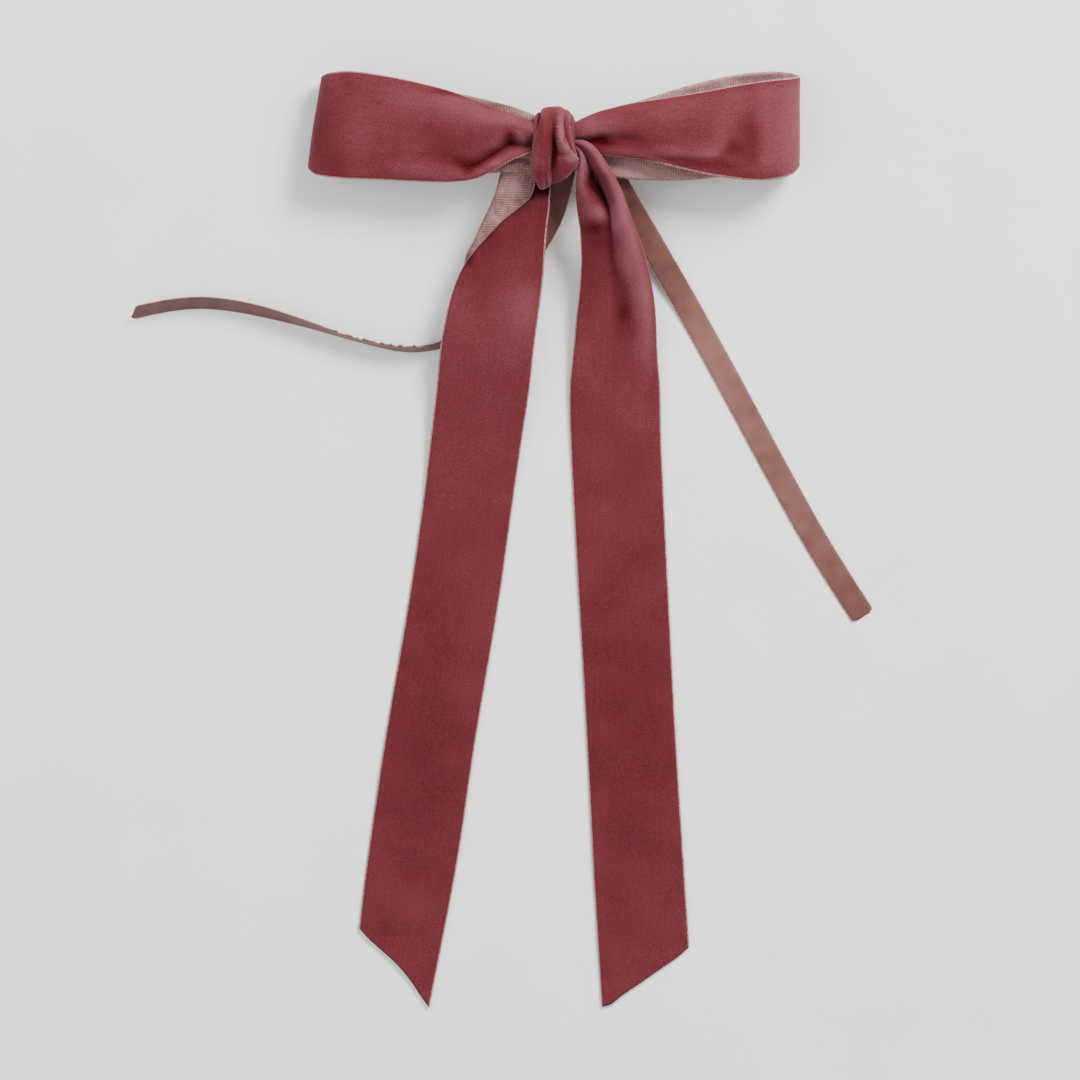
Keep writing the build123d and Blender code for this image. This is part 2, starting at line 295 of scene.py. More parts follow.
def mixed(tree, base, *weighted):
    """A base value plus each pattern times its weight."""
    total = base
    for pattern, weight in weighted:
        total = math_value(tree, "ADD", math_value(tree, "MULTIPLY", pattern, weight), total)
    return total


def waves(tree, place, pitch, waver=0.0):
    """A sine wave over a place in metres, at a pitch in millimetres."""
    return math_value(tree, "SINE", mixed(tree, waver, (place, 2 * math.pi / (pitch * MM))))


def colour_ramp(tree, factor, *stops):
    """A colour ramp through (position, colour) stops."""
    ramp = add(tree, "ShaderNodeValToRGB", Fac=factor)
    elements = ramp.color_ramp.elements
    for element, (position, colour) in zip(elements, (stops[0], stops[-1])):
        element.position = position
        element.color = (*colour, 1)
    for position, colour in stops[1:-1]:
        elements.new(position).color = (*colour, 1)
    return ramp.outputs["Color"]


def add_bump(tree, shader, height, distance, strength):
    """Links a height pattern to the shader's normal."""
    bump = add(tree, "ShaderNodeBump", Height=height, Distance=distance, Strength=strength)
    tree.links.new(bump.outputs["Normal"], shader.inputs["Normal"])


def strip_coords(tree):
    """The place along and across the ribbon, in metres, and the painted light and shade: how far it
    is on a ridge, plus the strokes.
    """
    node = tree.nodes.new("ShaderNodeAttribute")
    node.attribute_name = "strip"
    split = add(tree, "ShaderNodeSeparateXYZ", Vector=node.outputs["Vector"])
    return split.outputs["X"], split.outputs["Y"], split.outputs["Z"]


def velvet_material():
    """Dusty rose velvet: dense pile, with painted shade in its creases and painted highlights on
    its ridges.
    """
    material, tree, shader, place = node_material(
        "velvet", Roughness=0.95, Specular_IOR_Level=0.04, Sheen_Weight=0.38,
        Sheen_Roughness=0.38, Sheen_Tint=(0.92, 0.43, 0.485, 1))
    along, across, painted_light = strip_coords(tree)
    shortened = math_value(tree, "MULTIPLY", along, 0.12)
    lengthwise = add(tree, "ShaderNodeCombineXYZ", X=shortened, Y=across).outputs["Vector"]
    streaks = noise_value(tree, lengthwise, 1100.0)
    patches = noise_value(tree, place, 70.0)
    grain = noise_value(tree, place, 2400.0, 3.0)
    pile = noise_value(tree, place, 5200.0, 1.0)
    # Random pile tone plus the painted light and shade: darker in creases, lighter on ridges, and
    # the strokes' patches.
    level = mixed(tree, 0.19, (patches, 0.16), (grain, 0.40), (streaks, 0.08), (painted_light, 0.28))
    colour = colour_ramp(tree, level, (0.14, (0.036, 0.0003, 0.0008)),
                         (0.52, (0.108, 0.0200, 0.0255)), (0.92, (0.20, 0.066, 0.078)))
    tree.links.new(colour, shader.inputs["Base Color"])
    add_bump(tree, shader, pile, 0.0002, 0.6)
    return material


def ribbed_back_material():
    """The velvet ribbon's woven back: pale mauve, with fine ribs, a slanted weave and painted light
    and shade on its folds.
    """
    material, tree, shader, place = node_material(
        "ribbed_back", Roughness=0.5, Specular_IOR_Level=0.2, Sheen_Weight=0.1,
        Sheen_Tint=(0.75, 0.48, 0.44, 1))
    along, across, painted_light = strip_coords(tree)
    waver = math_value(tree, "MULTIPLY", noise_value(tree, place, 300.0), 5.0)
    ribs = waves(tree, along, 0.72, waver)
    twill = waves(tree, mixed(tree, along, (across, 1.1)), 0.9)
    threads = noise_value(tree, place, 1900.0)
    patches = noise_value(tree, place, 400.0)
    weave = mixed(tree, threads, (ribs, 0.22), (twill, 0.26))
    # The weave and patches, plus painted light and shade from the folds and the strokes.
    tone = mixed(tree, 0.0, (weave, 0.5), (patches, 0.5), (painted_light, 0.25))
    colour = colour_ramp(tree, tone, (0.2, (0.092, 0.038, 0.033)), (0.8, (0.39, 0.212, 0.198)))
    tree.links.new(colour, shader.inputs["Base Color"])
    add_bump(tree, shader, weave, 0.00008, 0.5)
    return material


def selvedge_material():
    """The pale pink edge threads."""
    material, tree, shader, place = node_material(
        "selvedge", Roughness=0.42, Specular_IOR_Level=0.4)
    threads = noise_value(tree, place, 1800.0)
    colour = colour_ramp(tree, threads, (0.32, (0.15, 0.052, 0.053)), (0.72, (0.42, 0.225, 0.215)))
    tree.links.new(colour, shader.inputs["Base Color"])
    add_bump(tree, shader, threads, 0.00005, 0.5)
    return material


def satin_material():
    """The narrow tie: mauve satin with a fine diagonal weave, a soft lengthwise gloss, and painted
    light and shade from its strokes.
    """
    material, tree, shader, place = node_material(
        "satin", Roughness=0.42, Anisotropic=0.5, Specular_IOR_Level=0.12)
    along, across, painted_light = strip_coords(tree)
    twill = waves(tree, mixed(tree, along, (across, 1.74)), 1.1)
    warp = waves(tree, across, 0.36)
    weave = mixed(tree, 0.0, (twill, 0.5), (warp, 0.3))
    patches = noise_value(tree, place, 160.0)
    # The weave and patches, plus painted light and shade from the folds and the strokes.
    tone = mixed(tree, 0.27, (weave, 0.25), (patches, 0.4), (painted_light, 0.22))
    colour = colour_ramp(tree, tone, (0.1, (0.048, 0.013, 0.0105)), (0.75, (0.228, 0.104, 0.089)))
    tree.links.new(colour, shader.inputs["Base Color"])
    add_bump(tree, shader, weave, 0.00002, 0.2)
    return material


def metal_material(name, colour, roughness):
    """Plated or spring steel with fine brushing and a little handling wear."""
    material, tree, shader, place = node_material(name, Base_Color=(*colour, 1), Metallic=1.0)
    stretch = add(tree, "ShaderNodeMapping", Vector=place, Scale=(60.0, 1800.0, 900.0))
    brushing = noise_value(tree, stretch.outputs["Vector"], 1.0, 3.0)
    wear = noise_value(tree, place, 240.0, 4.0)
    tint = colour_ramp(tree, wear, (0.35, [c * 0.82 for c in colour]), (0.6, colour))
    tree.links.new(tint, shader.inputs["Base Color"])
    tree.links.new(mixed(tree, roughness, (brushing, 0.22)), shader.inputs["Roughness"])
    add_bump(tree, shader, brushing, 0.00002, 0.35)
    return material


VELVET = velvet_material()
RIBBED = ribbed_back_material()
SELVEDGE = selvedge_material()
SATIN = satin_material()
PLATED = metal_material("plated_steel", (0.62, 0.60, 0.56), 0.18)
SPRING = metal_material("spring_steel", (0.47, 0.46, 0.44), 0.26)
RIBBON_FACES = [VELVET, RIBBED, SELVEDGE]
SATIN_FACES = [SATIN, SATIN, SATIN]


# ---- Cross-sections --------------------------------------------------------------------------
SECTION_POINTS = 9


def loop_section(x, z, points, lean=0.0):
    """A section across a loop's ribbon: (y, lift) from its top edge to its bottom edge."""
    middle = (points[0][0] + points[-1][0]) / 2
    return [(x + lean * (y - middle), y, z + lift) for y, lift in points]


def plain_loop(x, z, top, bottom, crown=0.0, lean=0.0, pleat=0.0):
    """A section of a loop with no folds, or with even pleats of one height."""
    points = []
    for k in range(SECTION_POINTS):
        share = k / (SECTION_POINTS - 1)
        lift = crown * math.sin(math.pi * share) + (pleat if k % 2 else -pleat)
        points.append((top + (bottom - top) * share, lift))
    return loop_section(x, z, points, lean)


def tail_section(y, z, points):
    """A section across a tail: (x, lift) from one edge to the other."""
    return [(x, y, z + lift) for x, lift in points]


def plain_tail(y, z, left, right, crown=0.0):
    """A section of a tail with no folds."""
    shares = np.linspace(0, 1, SECTION_POINTS)
    return [(left + (right - left) * s, y, z + crown * math.sin(math.pi * s)) for s in shares]


def velvet_up(sections):
    """The sections read from their other ends, which turns the velvet to the other face."""
    return [section[::-1] for section in sections]


def velvet_piece(name, sections, node, strokes, seed,
                 selvedge_share=0.010, picot_radius=0.12):
    """A stretch of the velvet ribbon with its selvedges, standing for one CAD node."""
    grid = ruffle(surface_from(sections, edge=selvedge_share), amount=0.22, size=12.0, seed=seed)
    body = shell(name, grid, VELVET_THICK, RIBBON_FACES, depth=0.9, strokes=strokes)
    trim = picot_edges(name + "_picots", [grid[:, 0], grid[:, -1]], picot_radius)
    for piece in (body, trim):
        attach(piece, "bow")
    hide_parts(node)


# ---- Loops -----------------------------------------------------------------------------------
# Rows of a loop's folds: x, z, points (y, lift) from the top edge down, and a lean if any.
LEFT_LOOP_END_LEAN = 0.149
LEFT_LOOP_FOLDS = [
    (-49, 14.8, [(20.2, -0.3), (16.6, 0.4), (13, 0.8), (9.4, 1.1), (5.8, 1.1), (2.2, 0.9),
                 (-1.4, 0.6), (-5, 0.3), (-8.6, -0.2)], 0.03),
    (-39, 16, [(18.3, -0.6), (15, 0.5), (11.6, 1.1), (8.2, 1.2), (4.6, 0.9), (1.2, 0.7),
               (-2.2, 0.5), (-5.8, 0.4), (-9.1, -0.4)]),
    (-30, 17.1, [(15.9, -0.7), (13.2, 0.8), (10.2, 1.4), (7, 1.3), (3.6, 0.8), (0.2, 0.4),
                 (-3.2, 0), (-6.6, 0.1), (-9.4, -0.3)]),
    (-24.5, 17.6, [(13.8, -0.8), (11.6, 0.9), (8.8, 1.6), (5.8, 1.3), (2.4, 0.7), (-1.4, 0),
                   (-4.9, -1), (-7.4, 0), (-8.9, -0.2)]),
    (-21.5, 17.9, [(12.7, -0.8), (10.8, 0.9), (8.2, 1.7), (5.4, 1.4), (2.4, 0.8), (-1, 0),
                   (-4.3, -1.4), (-6.4, 0.1), (-8.2, 0)]),
    (-19.1, 18.1, [(11.6, -0.8), (9.9, 0.9), (7.6, 1.8), (5.2, 1.5), (2.6, 0.9), (-0.2, 0.1),
                   (-2.9, -1.5), (-5.2, 0.1), (-7.2, 0.1)]),
    (-16, 18.4, [(10.7, -0.8), (9.2, 0.8), (7.2, 1.8), (5.2, 1.5), (3.2, 1), (1.2, 0.1),
                 (-0.9, -1.6), (-3.4, 0.1), (-5.6, 0.1)]),
    (-12.9, 18.6, [(9.6, -0.7), (8.4, 0.8), (6.9, 1.7), (5.4, 1.4), (4.2, 0.9), (2.9, -0.3),
                   (0.9, -1.9), (-1.8, -0.1), (-3.7, 0.3)]),
    (-9.6, 18.7, [(8.3, -0.7), (7.3, 0.7), (6, 1.5), (4.8, 1.4), (3.6, 1.1), (2.2, 0.2),
                  (0.6, -1.4), (-1, -0.2), (-2.3, 0.3)]),
    (-6.6, 18.8, [(6.9, -0.6), (5.8, 0.7), (4.8, 1.2), (3.8, 0.8), (2.8, 0), (1.6, -1.4),
                  (0.4, -2.4), (-0.5, -0.4), (-1.1, 0.2)]),
    (-1.5, 18.6, [(5, -1), (4.2, -0.2), (3.4, 0.2), (2.6, 0), (1.8, -0.4), (1, -1), (0.3, -1.2),
                  (-0.4, -0.4), (-1, 0)]),
]
# Painted light and shade on the left loop: painted shade on its end, which turns away from the key
# light, along the crease beside the knot and inside its top edge; painted highlights on its upper
# ridge and lower lip.
LEFT_LOOP_STROKES = [
    (-66, 7, 6, 18, -1), (-52, 4, 8, 9, 0.1), (-36, 13, 14, 4, 0.25), (-16, 8, 9, 3, 0.3),
    (-28, -1, 6, 4, -0.4), (-22.5, -4.2, 4, 1.8, -0.5), (-17, -1.4, 4, 1.7, -0.5),
    (-12.5, 1.4, 2.6, 1.8, -0.5), (-9, 5, 3, 2, 0.05), (-24, -7.4, 3, 1, -0.4),
    (-38, -6, 10, 3, 0.05), (-17, -4.4, 5, 0.8, 0.3), (-26, 15.4, 8, 1.2, -1.3),
    (-13, 12, 6, 1.3, -1.3),
]
RIGHT_LOOP_FOLDS = [
    (59, 16.5, [(18.6, -0.3), (15.4, 0.4), (12.1, 0.7), (8.8, 0.8), (5.6, 0.7), (2.2, 0.6),
                (-1.4, 0.6), (-5.2, 0.5), (-8.7, -0.3)]),
    (53.5, 17, [(17.8, -0.3), (14.8, 0.5), (11.8, 0.9), (8.8, 0.8), (5.4, 0.3), (1.8, 0), (-2, 0),
                (-5.6, 0.3), (-8.7, -0.3)]),
    (49, 17.4, [(17, -0.3), (14.1, 0.6), (11.2, 1), (8.4, 1.1), (5.4, 0.8), (2.6, 0.4),
                (-0.4, -0.3), (-4.6, -0.2), (-8.4, -0.3)]),
    (45.5, 17.7, [(16.4, -0.3), (13.4, 0.6), (10.4, 1.1), (7.6, 1.2), (4.6, 1.1), (1.8, 0.9),
                  (-1.2, 0.3), (-3.6, -0.5), (-8, -0.3)]),
    (42.7, 17.9, [(15.8, -0.3), (13, 0.6), (10.2, 1.1), (7.4, 1.2), (4.4, 1.1), (1.4, 1),
                  (-1.6, 0.7), (-3.4, -0.4), (-7.5, -0.3)]),
    (36.4, 18.3, [(14.7, -0.4), (12.2, 0.7), (9.6, 1.2), (7, 1.3), (4.2, 1.2), (1.4, 1.1),
                  (-1.6, 0.8), (-3.5, -0.3), (-6.1, -0.2)]),
    (31, 18.7, [(13.8, -0.5), (11.5, 0.7), (9.2, 1.3), (6.8, 1.4), (4.2, 1.2), (1.4, 1),
                (-1.2, 0.9), (-3.2, -0.4), (-4.7, -0.2)]),
    (25, 19, [(12.9, -0.5), (10.8, 0.7), (8.8, 1.3), (6.6, 1.4), (4.4, 1.1), (2, 0.7), (-0.4, 0.6),
              (-2.2, 0.3), (-3.3, -0.3)]),
    (20, 19.3, [(12, -0.6), (10.2, 0.8), (8.4, 1.3), (6.6, 1.4), (4.8, 1), (2.8, 0.2), (0.8, 0.3),
                (-1.2, 0.4), (-2.7, -0.4)]),
    (15.5, 19.4, [(10.8, -0.6), (9.4, 0.8), (7.8, 1.4), (6.2, 1.4), (4.4, 0.9), (2.8, 0),
                  (1.1, -0.1), (-0.6, 0.1), (-2.3, -0.4)]),
    (12.2, 19.4, [(9.9, -0.7), (8.7, 0.7), (7.3, 1.3), (5.8, 1.4), (4.2, 0.9), (3.1, -0.8),
                  (1.7, -1), (0.1, -0.3), (-1.9, -0.5)]),
    (9.2, 19.4, [(8.7, -0.7), (7.7, 0.6), (6.6, 1.2), (5.2, 1.3), (3.7, 0.8), (2.6, -1.2),
                 (1.5, -1.6), (0.3, -0.6), (-1.2, -0.5)]),
    (6.6, 19.2, [(7.5, -0.6), (6.6, 0.5), (5.7, 0.9), (4.5, 0.9), (3.3, 0.5), (2.3, -0.9),
                 (1.5, -1.5), (0.6, -0.8), (-0.6, -0.4)]),
    (1.5, 18.6, [(4.6, -1), (4, -0.2), (3.4, 0), (2.8, 0.1), (2.2, -0.2), (1.6, -1), (1, -1.4),
                 (0.2, -0.6), (-0.6, -0.4)]),
]
# Painted light and shade on the right loop: painted shade in the fold beside the knot and on the
# woven inside of its top edge; painted light on its woven inside below, in the front layer's
# shadow, and along its lower crease.
RIGHT_LOOP_STROKES = [
    (64, 8, 7, 16, 0.1), (12, 6, 6, 2, 0.3), (14, 9.5, 8, 1.5, -0.3), (11.5, 1.4, 5, 2, -1.4),
    (21, 0.6, 8, 3, -0.3), (42, 10, 12, 5, 0.1), (38, -5, 9, 1.2, -0.3), (48, -0.8, 4, 3, -0.1),
    (53, -6, 9, 2.5, -0.3), (40, 0, 7, 2, 0.1), (42, -2.6, 5, 1.2, 0.7), (57, 20.6, 14, 1.5, -0.8),
    (38, 17, 8, 1.2, -0.2), (20, -6, 10, 2.6, 1.3), (34, -7.8, 6, 1.6, 0.8),
    (52, 20.4, 14, 2.2, -0.9), (34, 16.7, 9, 1.3, -0.7),
]


def left_loop():
    """Out from the knot along the back, round the end and back to the knot in front."""
    plain = [
        plain_loop(-0.8, 15.0, 6.0, -5.0, pleat=0.7),
        plain_loop(-6.6, 14.6, 9.3, -6.9, pleat=0.7),
        plain_loop(-15.0, 14.0, 12.3, -6.6, pleat=0.25),
        plain_loop(-29.0, 10.6, 15.6, -7.8),
        plain_loop(-45.0, 5.0, 18.6, -6.6),
        plain_loop(-56.0, 1.7, 20.0, -5.8, lean=0.06),
        plain_loop(-62.5, 1.1, 20.6, -5.6, lean=0.13),
        plain_loop(-66.0, 4.2, 20.2, -5.2, lean=LEFT_LOOP_END_LEAN),
        plain_loop(-66.4, 8.4, 20.4, -5.6, lean=LEFT_LOOP_END_LEAN),
        plain_loop(-64.2, 12.0, 21.0, -7.2, crown=0.3, lean=LEFT_LOOP_END_LEAN),
        plain_loop(-58.0, 13.6, 21.3, -8.2, crown=0.8, lean=0.09),
    ]
    folded = [loop_section(*row) for row in LEFT_LOOP_FOLDS]
    velvet_piece("left_loop_ribbon", plain + folded, "left_loop", LEFT_LOOP_STROKES, 3.1)


def right_loop():
    """The right loop, more open at its end, so that its woven inside shows above and below."""
    plain = [
        plain_loop(0.8, 15.0, 6.0, -5.0, pleat=0.7),
        plain_loop(7.0, 14.6, 7.2, -6.4, pleat=0.7),
        plain_loop(15.5, 14.0, 10.4, -7.8, pleat=0.25),
        plain_loop(24.6, 12.4, 13.5, -8.6),
        plain_loop(36.4, 8.8, 17.3, -8.5),
        plain_loop(50.0, 3.6, 20.6, -7.0),
        plain_loop(60.0, 1.3, 21.6, -6.0),
        plain_loop(65.0, 1.8, 21.2, -5.4),
        plain_loop(67.0, 6.0, 20.4, -5.0),
        plain_loop(66.9, 10.5, 20.0, -5.6),
        plain_loop(64.6, 14.6, 19.4, -7.4, crown=0.3),
    ]
    folded = [loop_section(*row) for row in RIGHT_LOOP_FOLDS]
    velvet_piece("right_loop_ribbon", velvet_up(plain + folded), "right_loop",
                 RIGHT_LOOP_STROKES, 7.7, selvedge_share=0.014, picot_radius=0.16)


# ---- Tails -----------------------------------------------------------------------------------
# Rows of a tail's folds: y, z and points (x, lift) from edge to edge.
LEFT_TAIL_FOLDS = [
    (3, 13.2, [(-2.2, 0.6), (-2.8, 0.6), (-3.4, 0.5), (-3.8, 0.3), (-3.7, 0), (-2.8, -0.1),
               (-1.6, -0.1), (-0.4, 0), (0.9, 0.1)]),
    (0.2, 12.8, [(-3.6, 0.7), (-4.8, 0.7), (-6, 0.6), (-6.9, 0.3), (-6.8, 0), (-5.4, -0.1),
                 (-3.6, -0.1), (-1.6, 0), (0.3, 0.1)]),
    (-3.2, 12.2, [(-4.6, 1.3), (-6.9, 1.3), (-9.4, 1.1), (-11.2, 0.7), (-11.1, 0.1), (-8.8, -0.1),
                  (-6, -0.1), (-3.3, 0), (-0.6, 0.2)]),
    (-6.5, 11.2, [(-5.4, 1.8), (-8.5, 1.8), (-12, 1.6), (-14.4, 0.8), (-14.2, -0.2), (-11, -0.6),
                  (-7.6, -0.5), (-4.4, -0.2), (-1.3, 0)]),
    (-11.1, 10.9, [(-6.1, 2.2), (-9.4, 1.9), (-13, 1.6), (-15.8, 0.7), (-15.2, -0.3), (-12, -0.5),
                   (-8.4, -0.2), (-5, 0.1), (-1.5, 0)]),
    (-14, 11.7, [(-7.5, 1.7), (-10.6, 1.8), (-14.4, 1.5), (-16.9, 0.6), (-16.3, -0.3), (-13, -0.4),
                 (-9.2, 0), (-5.4, 0.3), (-1.8, 0.1)]),
    (-16.5, 11.4, [(-10.4, 1.5), (-12.8, 1.6), (-15.8, 1.3), (-18, 0.6), (-17.5, -0.3),
                   (-14.4, -0.3), (-10.4, 0), (-6, 0.4), (-1.9, 0.1)]),
    (-20.4, 11, [(-15.2, 1.3), (-16.8, 1.4), (-18.6, 1.1), (-19.9, 0.5), (-19.4, -0.3), (-16, -0.2),
                 (-11.6, 0.2), (-6.8, 0.5), (-2.4, 0.1)]),
    (-25.7, 10.6, [(-20.3, 1), (-21, 1.05), (-21.7, 0.8), (-22.2, 0.4), (-21.6, -0.2),
                   (-17.6, -0.1), (-12.8, 0.4), (-7.6, 0.6), (-2.9, 0.1)]),
    (-30, 10.2, [(-23.9, 0.7), (-24.2, 0.6), (-24.4, 0.4), (-24.4, 0.2), (-23, -0.1), (-18.6, 0),
                 (-13.4, 0.4), (-8, 0.6), (-3.2, 0)]),
    (-35, 9.8, [(-26.8, 0), (-26.2, 0.1), (-25.2, 0.1), (-23.8, 0), (-21.4, -0.1), (-17.4, 0),
                (-13, 0.3), (-8, 0.4), (-3.5, 0)]),
    (-42, 9.3, [(-29.3, 0), (-27.6, 0.1), (-25.6, 0.1), (-23, 0), (-20, -0.1), (-16.4, 0),
                (-12.6, 0.2), (-8.4, 0.3), (-4.3, 0)]),
]
LEFT_TAIL_CUT = [
    (-54.6, -216.2), (-52.3, -218.8), (-49.9, -221), (-47.3, -223.3), (-44.8, -225.6),
    (-42.3, -228.3), (-39.9, -231.4), (-37.6, -234.9), (-35.2, -238.2),
]
# Painted light and shade on the left tail: painted shade under the knot and at the end of its
# folded edge, a painted highlight on the fold, and broad darker and lighter tone further down.
LEFT_TAIL_STROKES = [
    (-3, -11, 4, 4, -1.3), (-5, -17, 6, 5, -0.5), (-10, -25, 9, 6, -0.5), (-19, -24, 2.5, 7, -0.2),
    (-24.5, -29.5, 1.6, 3, -1), (-7.5, -9, 2, 2.5, -0.7), (-12.2, -12.5, 2.4, 3, 0.4),
    (-6, -33, 4, 5, -0.3), (-14, -48, 12, 9, 0.3), (-8, -44, 4, 6, 0.2), (-24, -78, 9, 14, 0.15),
    (-36, -165, 16, 45, -0.35),
]
RIGHT_TAIL_START = [
    [(3.6, 0.5, 18.4), (3.6, 0.7, 18.5), (3.6, 0.9, 18.6), (3.7, 1.1, 18.5), (3.7, 1.3, 18.5),
     (3.7, 1.5, 18.6), (3.8, 1.7, 18.6), (3.8, 1.9, 18.5), (3.8, 2.1, 18.4)],
    [(4.9, -0.3, 19.3), (5, 0, 19.7), (5.1, 0.3, 19.9), (5.2, 0.5, 19.7), (5.3, 0.8, 19.6),
     (5.4, 1.1, 20), (5.5, 1.4, 20.2), (5.6, 1.6, 20), (5.7, 1.8, 19.4)],
    [(5.9, -1.4, 19.8), (6.2, -1.1, 20.2), (6.4, -0.8, 20.2), (6.6, -0.5, 19.6), (6.9, -0.2, 19.3),
     (7.2, 0.2, 20.2), (7.5, 0.6, 21.2), (7.9, 1.1, 21.3), (8.3, 1.5, 20.2)],
    [(6.4, -3, 20), (6.8, -2.8, 20.7), (7.2, -2.6, 20.7), (7.7, -2.3, 19.4), (8.2, -2, 18.7),
     (8.9, -1.7, 20.4), (9.7, -1.3, 21.6), (10.5, -1, 21.6), (11.2, -0.7, 20.3)],
    [(6.2, -5.7, 19.4), (6.9, -5.6, 20.5), (7.6, -5.5, 20.6), (8.5, -5.3, 18.6), (9.6, -5.1, 17.2),
     (10.7, -4.9, 19.8), (11.8, -4.7, 21.2), (12.8, -4.5, 21.2), (13.8, -4.3, 19.6)],
    [(5.9, -8.3, 18.6), (6.7, -8.2, 19.8), (7.5, -8.1, 19.8), (8.8, -8, 17.6), (10.9, -7.9, 15.7),
     (12.8, -7.8, 18.8), (13.9, -7.7, 20.5), (14.9, -7.6, 20.4), (15.8, -7.5, 18.6)],
]
RIGHT_TAIL_FOLDS = [
    (-10.5, 18, [(5.8, -0.6), (6.6, 0.7), (7.6, 0.8), (9.3, -0.8), (12.3, -3.2), (14.1, 0.3),
                 (15.2, 1.8), (16.3, 1.7), (17.4, -0.3)]),
    (-14.5, 16, [(5.8, -0.6), (7, 0.4), (8.7, 1.1), (11.2, 0.5), (14.1, -2.4), (15.4, 0.4),
                 (16.6, 2), (17.9, 1.9), (19.1, -0.2)]),
    (-18.5, 14, [(6.2, -0.6), (7.8, 0.2), (9.8, 1), (12.3, 1), (14.9, -0.8), (15.9, 0.5), (17.3, 2),
                 (18.9, 2), (20.6, -0.1)]),
    (-22, 12.3, [(6.7, -0.5), (8.5, -0.3), (10.7, 0), (13, 0), (15.2, -0.8), (16.3, 0.5), (18, 2),
                 (20, 2.1), (22, 0)]),
    (-26, 10.7, [(6.9, -0.4), (8.9, -0.6), (11.1, -0.8), (13.3, -0.9), (15.5, -0.9), (16.9, 0.5),
                 (18.9, 1.8), (21.1, 2), (23.5, 0.1)]),
    (-31, 8.8, [(7.1, -0.3), (9.1, -0.4), (11.2, -0.5), (13.4, -0.7), (15.7, -0.8), (17.4, 0.4),
                (19.8, 1.5), (22.5, 1.9), (25.1, 0.1)]),
    (-39, 6.2, [(6.6, -0.2), (9.1, -0.2), (11.7, -0.3), (14.3, -0.5), (17, -0.8), (19.2, -0.1),
                (21.4, 1.2), (24.2, 1.7), (26.8, 0.1)]),
    (-47, 4.4, [(5.7, 0), (8.5, 0), (11.4, 0), (14.4, -0.2), (17.4, -0.6), (20, -0.3), (22.6, 0.6),
                (25.2, 1.1), (27.7, 0.1)]),
    (-56, 2.9, [(4.9, 0), (7.8, 0.1), (10.8, 0.1), (13.8, 0.1), (16.8, 0), (19.8, 0.1), (22.6, 0.4),
                (25.4, 0.6), (28.1, 0.1)]),
]
RIGHT_TAIL_CUT = [
    (12.8, -238), (15.5, -237.1), (18.6, -234.6), (21.7, -232.5), (24.8, -230.4), (27.9, -228.2),
    (31, -226.1), (34, -224), (37, -221.4),
]
# Painted light and shade on the right tail: painted shade in its deep pleat and in the hollow below
# it, painted highlights along the ridges of its pleats, and broad tone further down.
RIGHT_TAIL_STROKES = [
    (10.2, -9, 1.8, 4.5, -1.5), (12.2, -14, 2.2, 3, -1.1), (11.5, -21.6, 4, 1.7, -0.9),
    (16.5, -20, 1.4, 3, 0.9), (11.2, -17.4, 2.6, 2, 0.6), (6.6, -7, 1, 5, 0.5),
    (10, -28, 5, 7, -0.35), (9, -37, 5, 9, -0.25), (13, -5, 2.5, 4, 0.4), (17.2, -18, 2, 6, 1),
    (20, -29, 2.2, 9, 0.7), (23.8, -43, 2.8, 9, 0.45), (19, -45, 2, 3, -0.6), (25, -62, 6, 14, 0.2),
    (12, -62, 7, 12, 0.05), (20, -160, 16, 50, -0.35),
]


def left_tail():
    """Its left edge is folded over to the front below the knot, then it lies flat."""
    folded = [tail_section(*row) for row in LEFT_TAIL_FOLDS]
    plain = [
        plain_tail(-54.0, 7.9, -31.8, -6.0),
        plain_tail(-66.0, 5.4, -33.0, -7.3),
        plain_tail(-80.0, 2.6, -34.7, -9.4),
        plain_tail(-98.0, 0.9, -36.9, -12.0),
        plain_tail(-125.0, LYING_Z, -40.8, -15.8),
        plain_tail(-165.0, LYING_Z, -47.6, -22.5),
        plain_tail(-200.0, LYING_Z, -52.7, -27.8),
    ]
    cut = [(x, y, LYING_Z) for x, y in LEFT_TAIL_CUT]
    sections = velvet_up([*folded, *plain, cut])
    velvet_piece("left_tail_ribbon", sections, "left_tail", LEFT_TAIL_STROKES, 11.3)


def right_tail():
    """It comes over the right loop beside the knot in two soft pleats that open as it falls."""
    folded = [tail_section(*row) for row in RIGHT_TAIL_FOLDS]
    plain = [
        plain_tail(-66.0, 1.7, 3.9, 28.9, crown=0.2),
        plain_tail(-80.0, 0.9, 4.1, 29.2),
        plain_tail(-114.0, LYING_Z, 5.8, 30.8),
        plain_tail(-160.0, LYING_Z, 8.4, 33.1),
        plain_tail(-203.0, LYING_Z, 10.6, 35.8),
    ]
    cut = [(x, y, LYING_Z) for x, y in RIGHT_TAIL_CUT]
    sections = velvet_up([*RIGHT_TAIL_START, *folded, *plain, cut])
    velvet_piece("right_tail_ribbon", sections, "right_tail", RIGHT_TAIL_STROKES, 19.9)


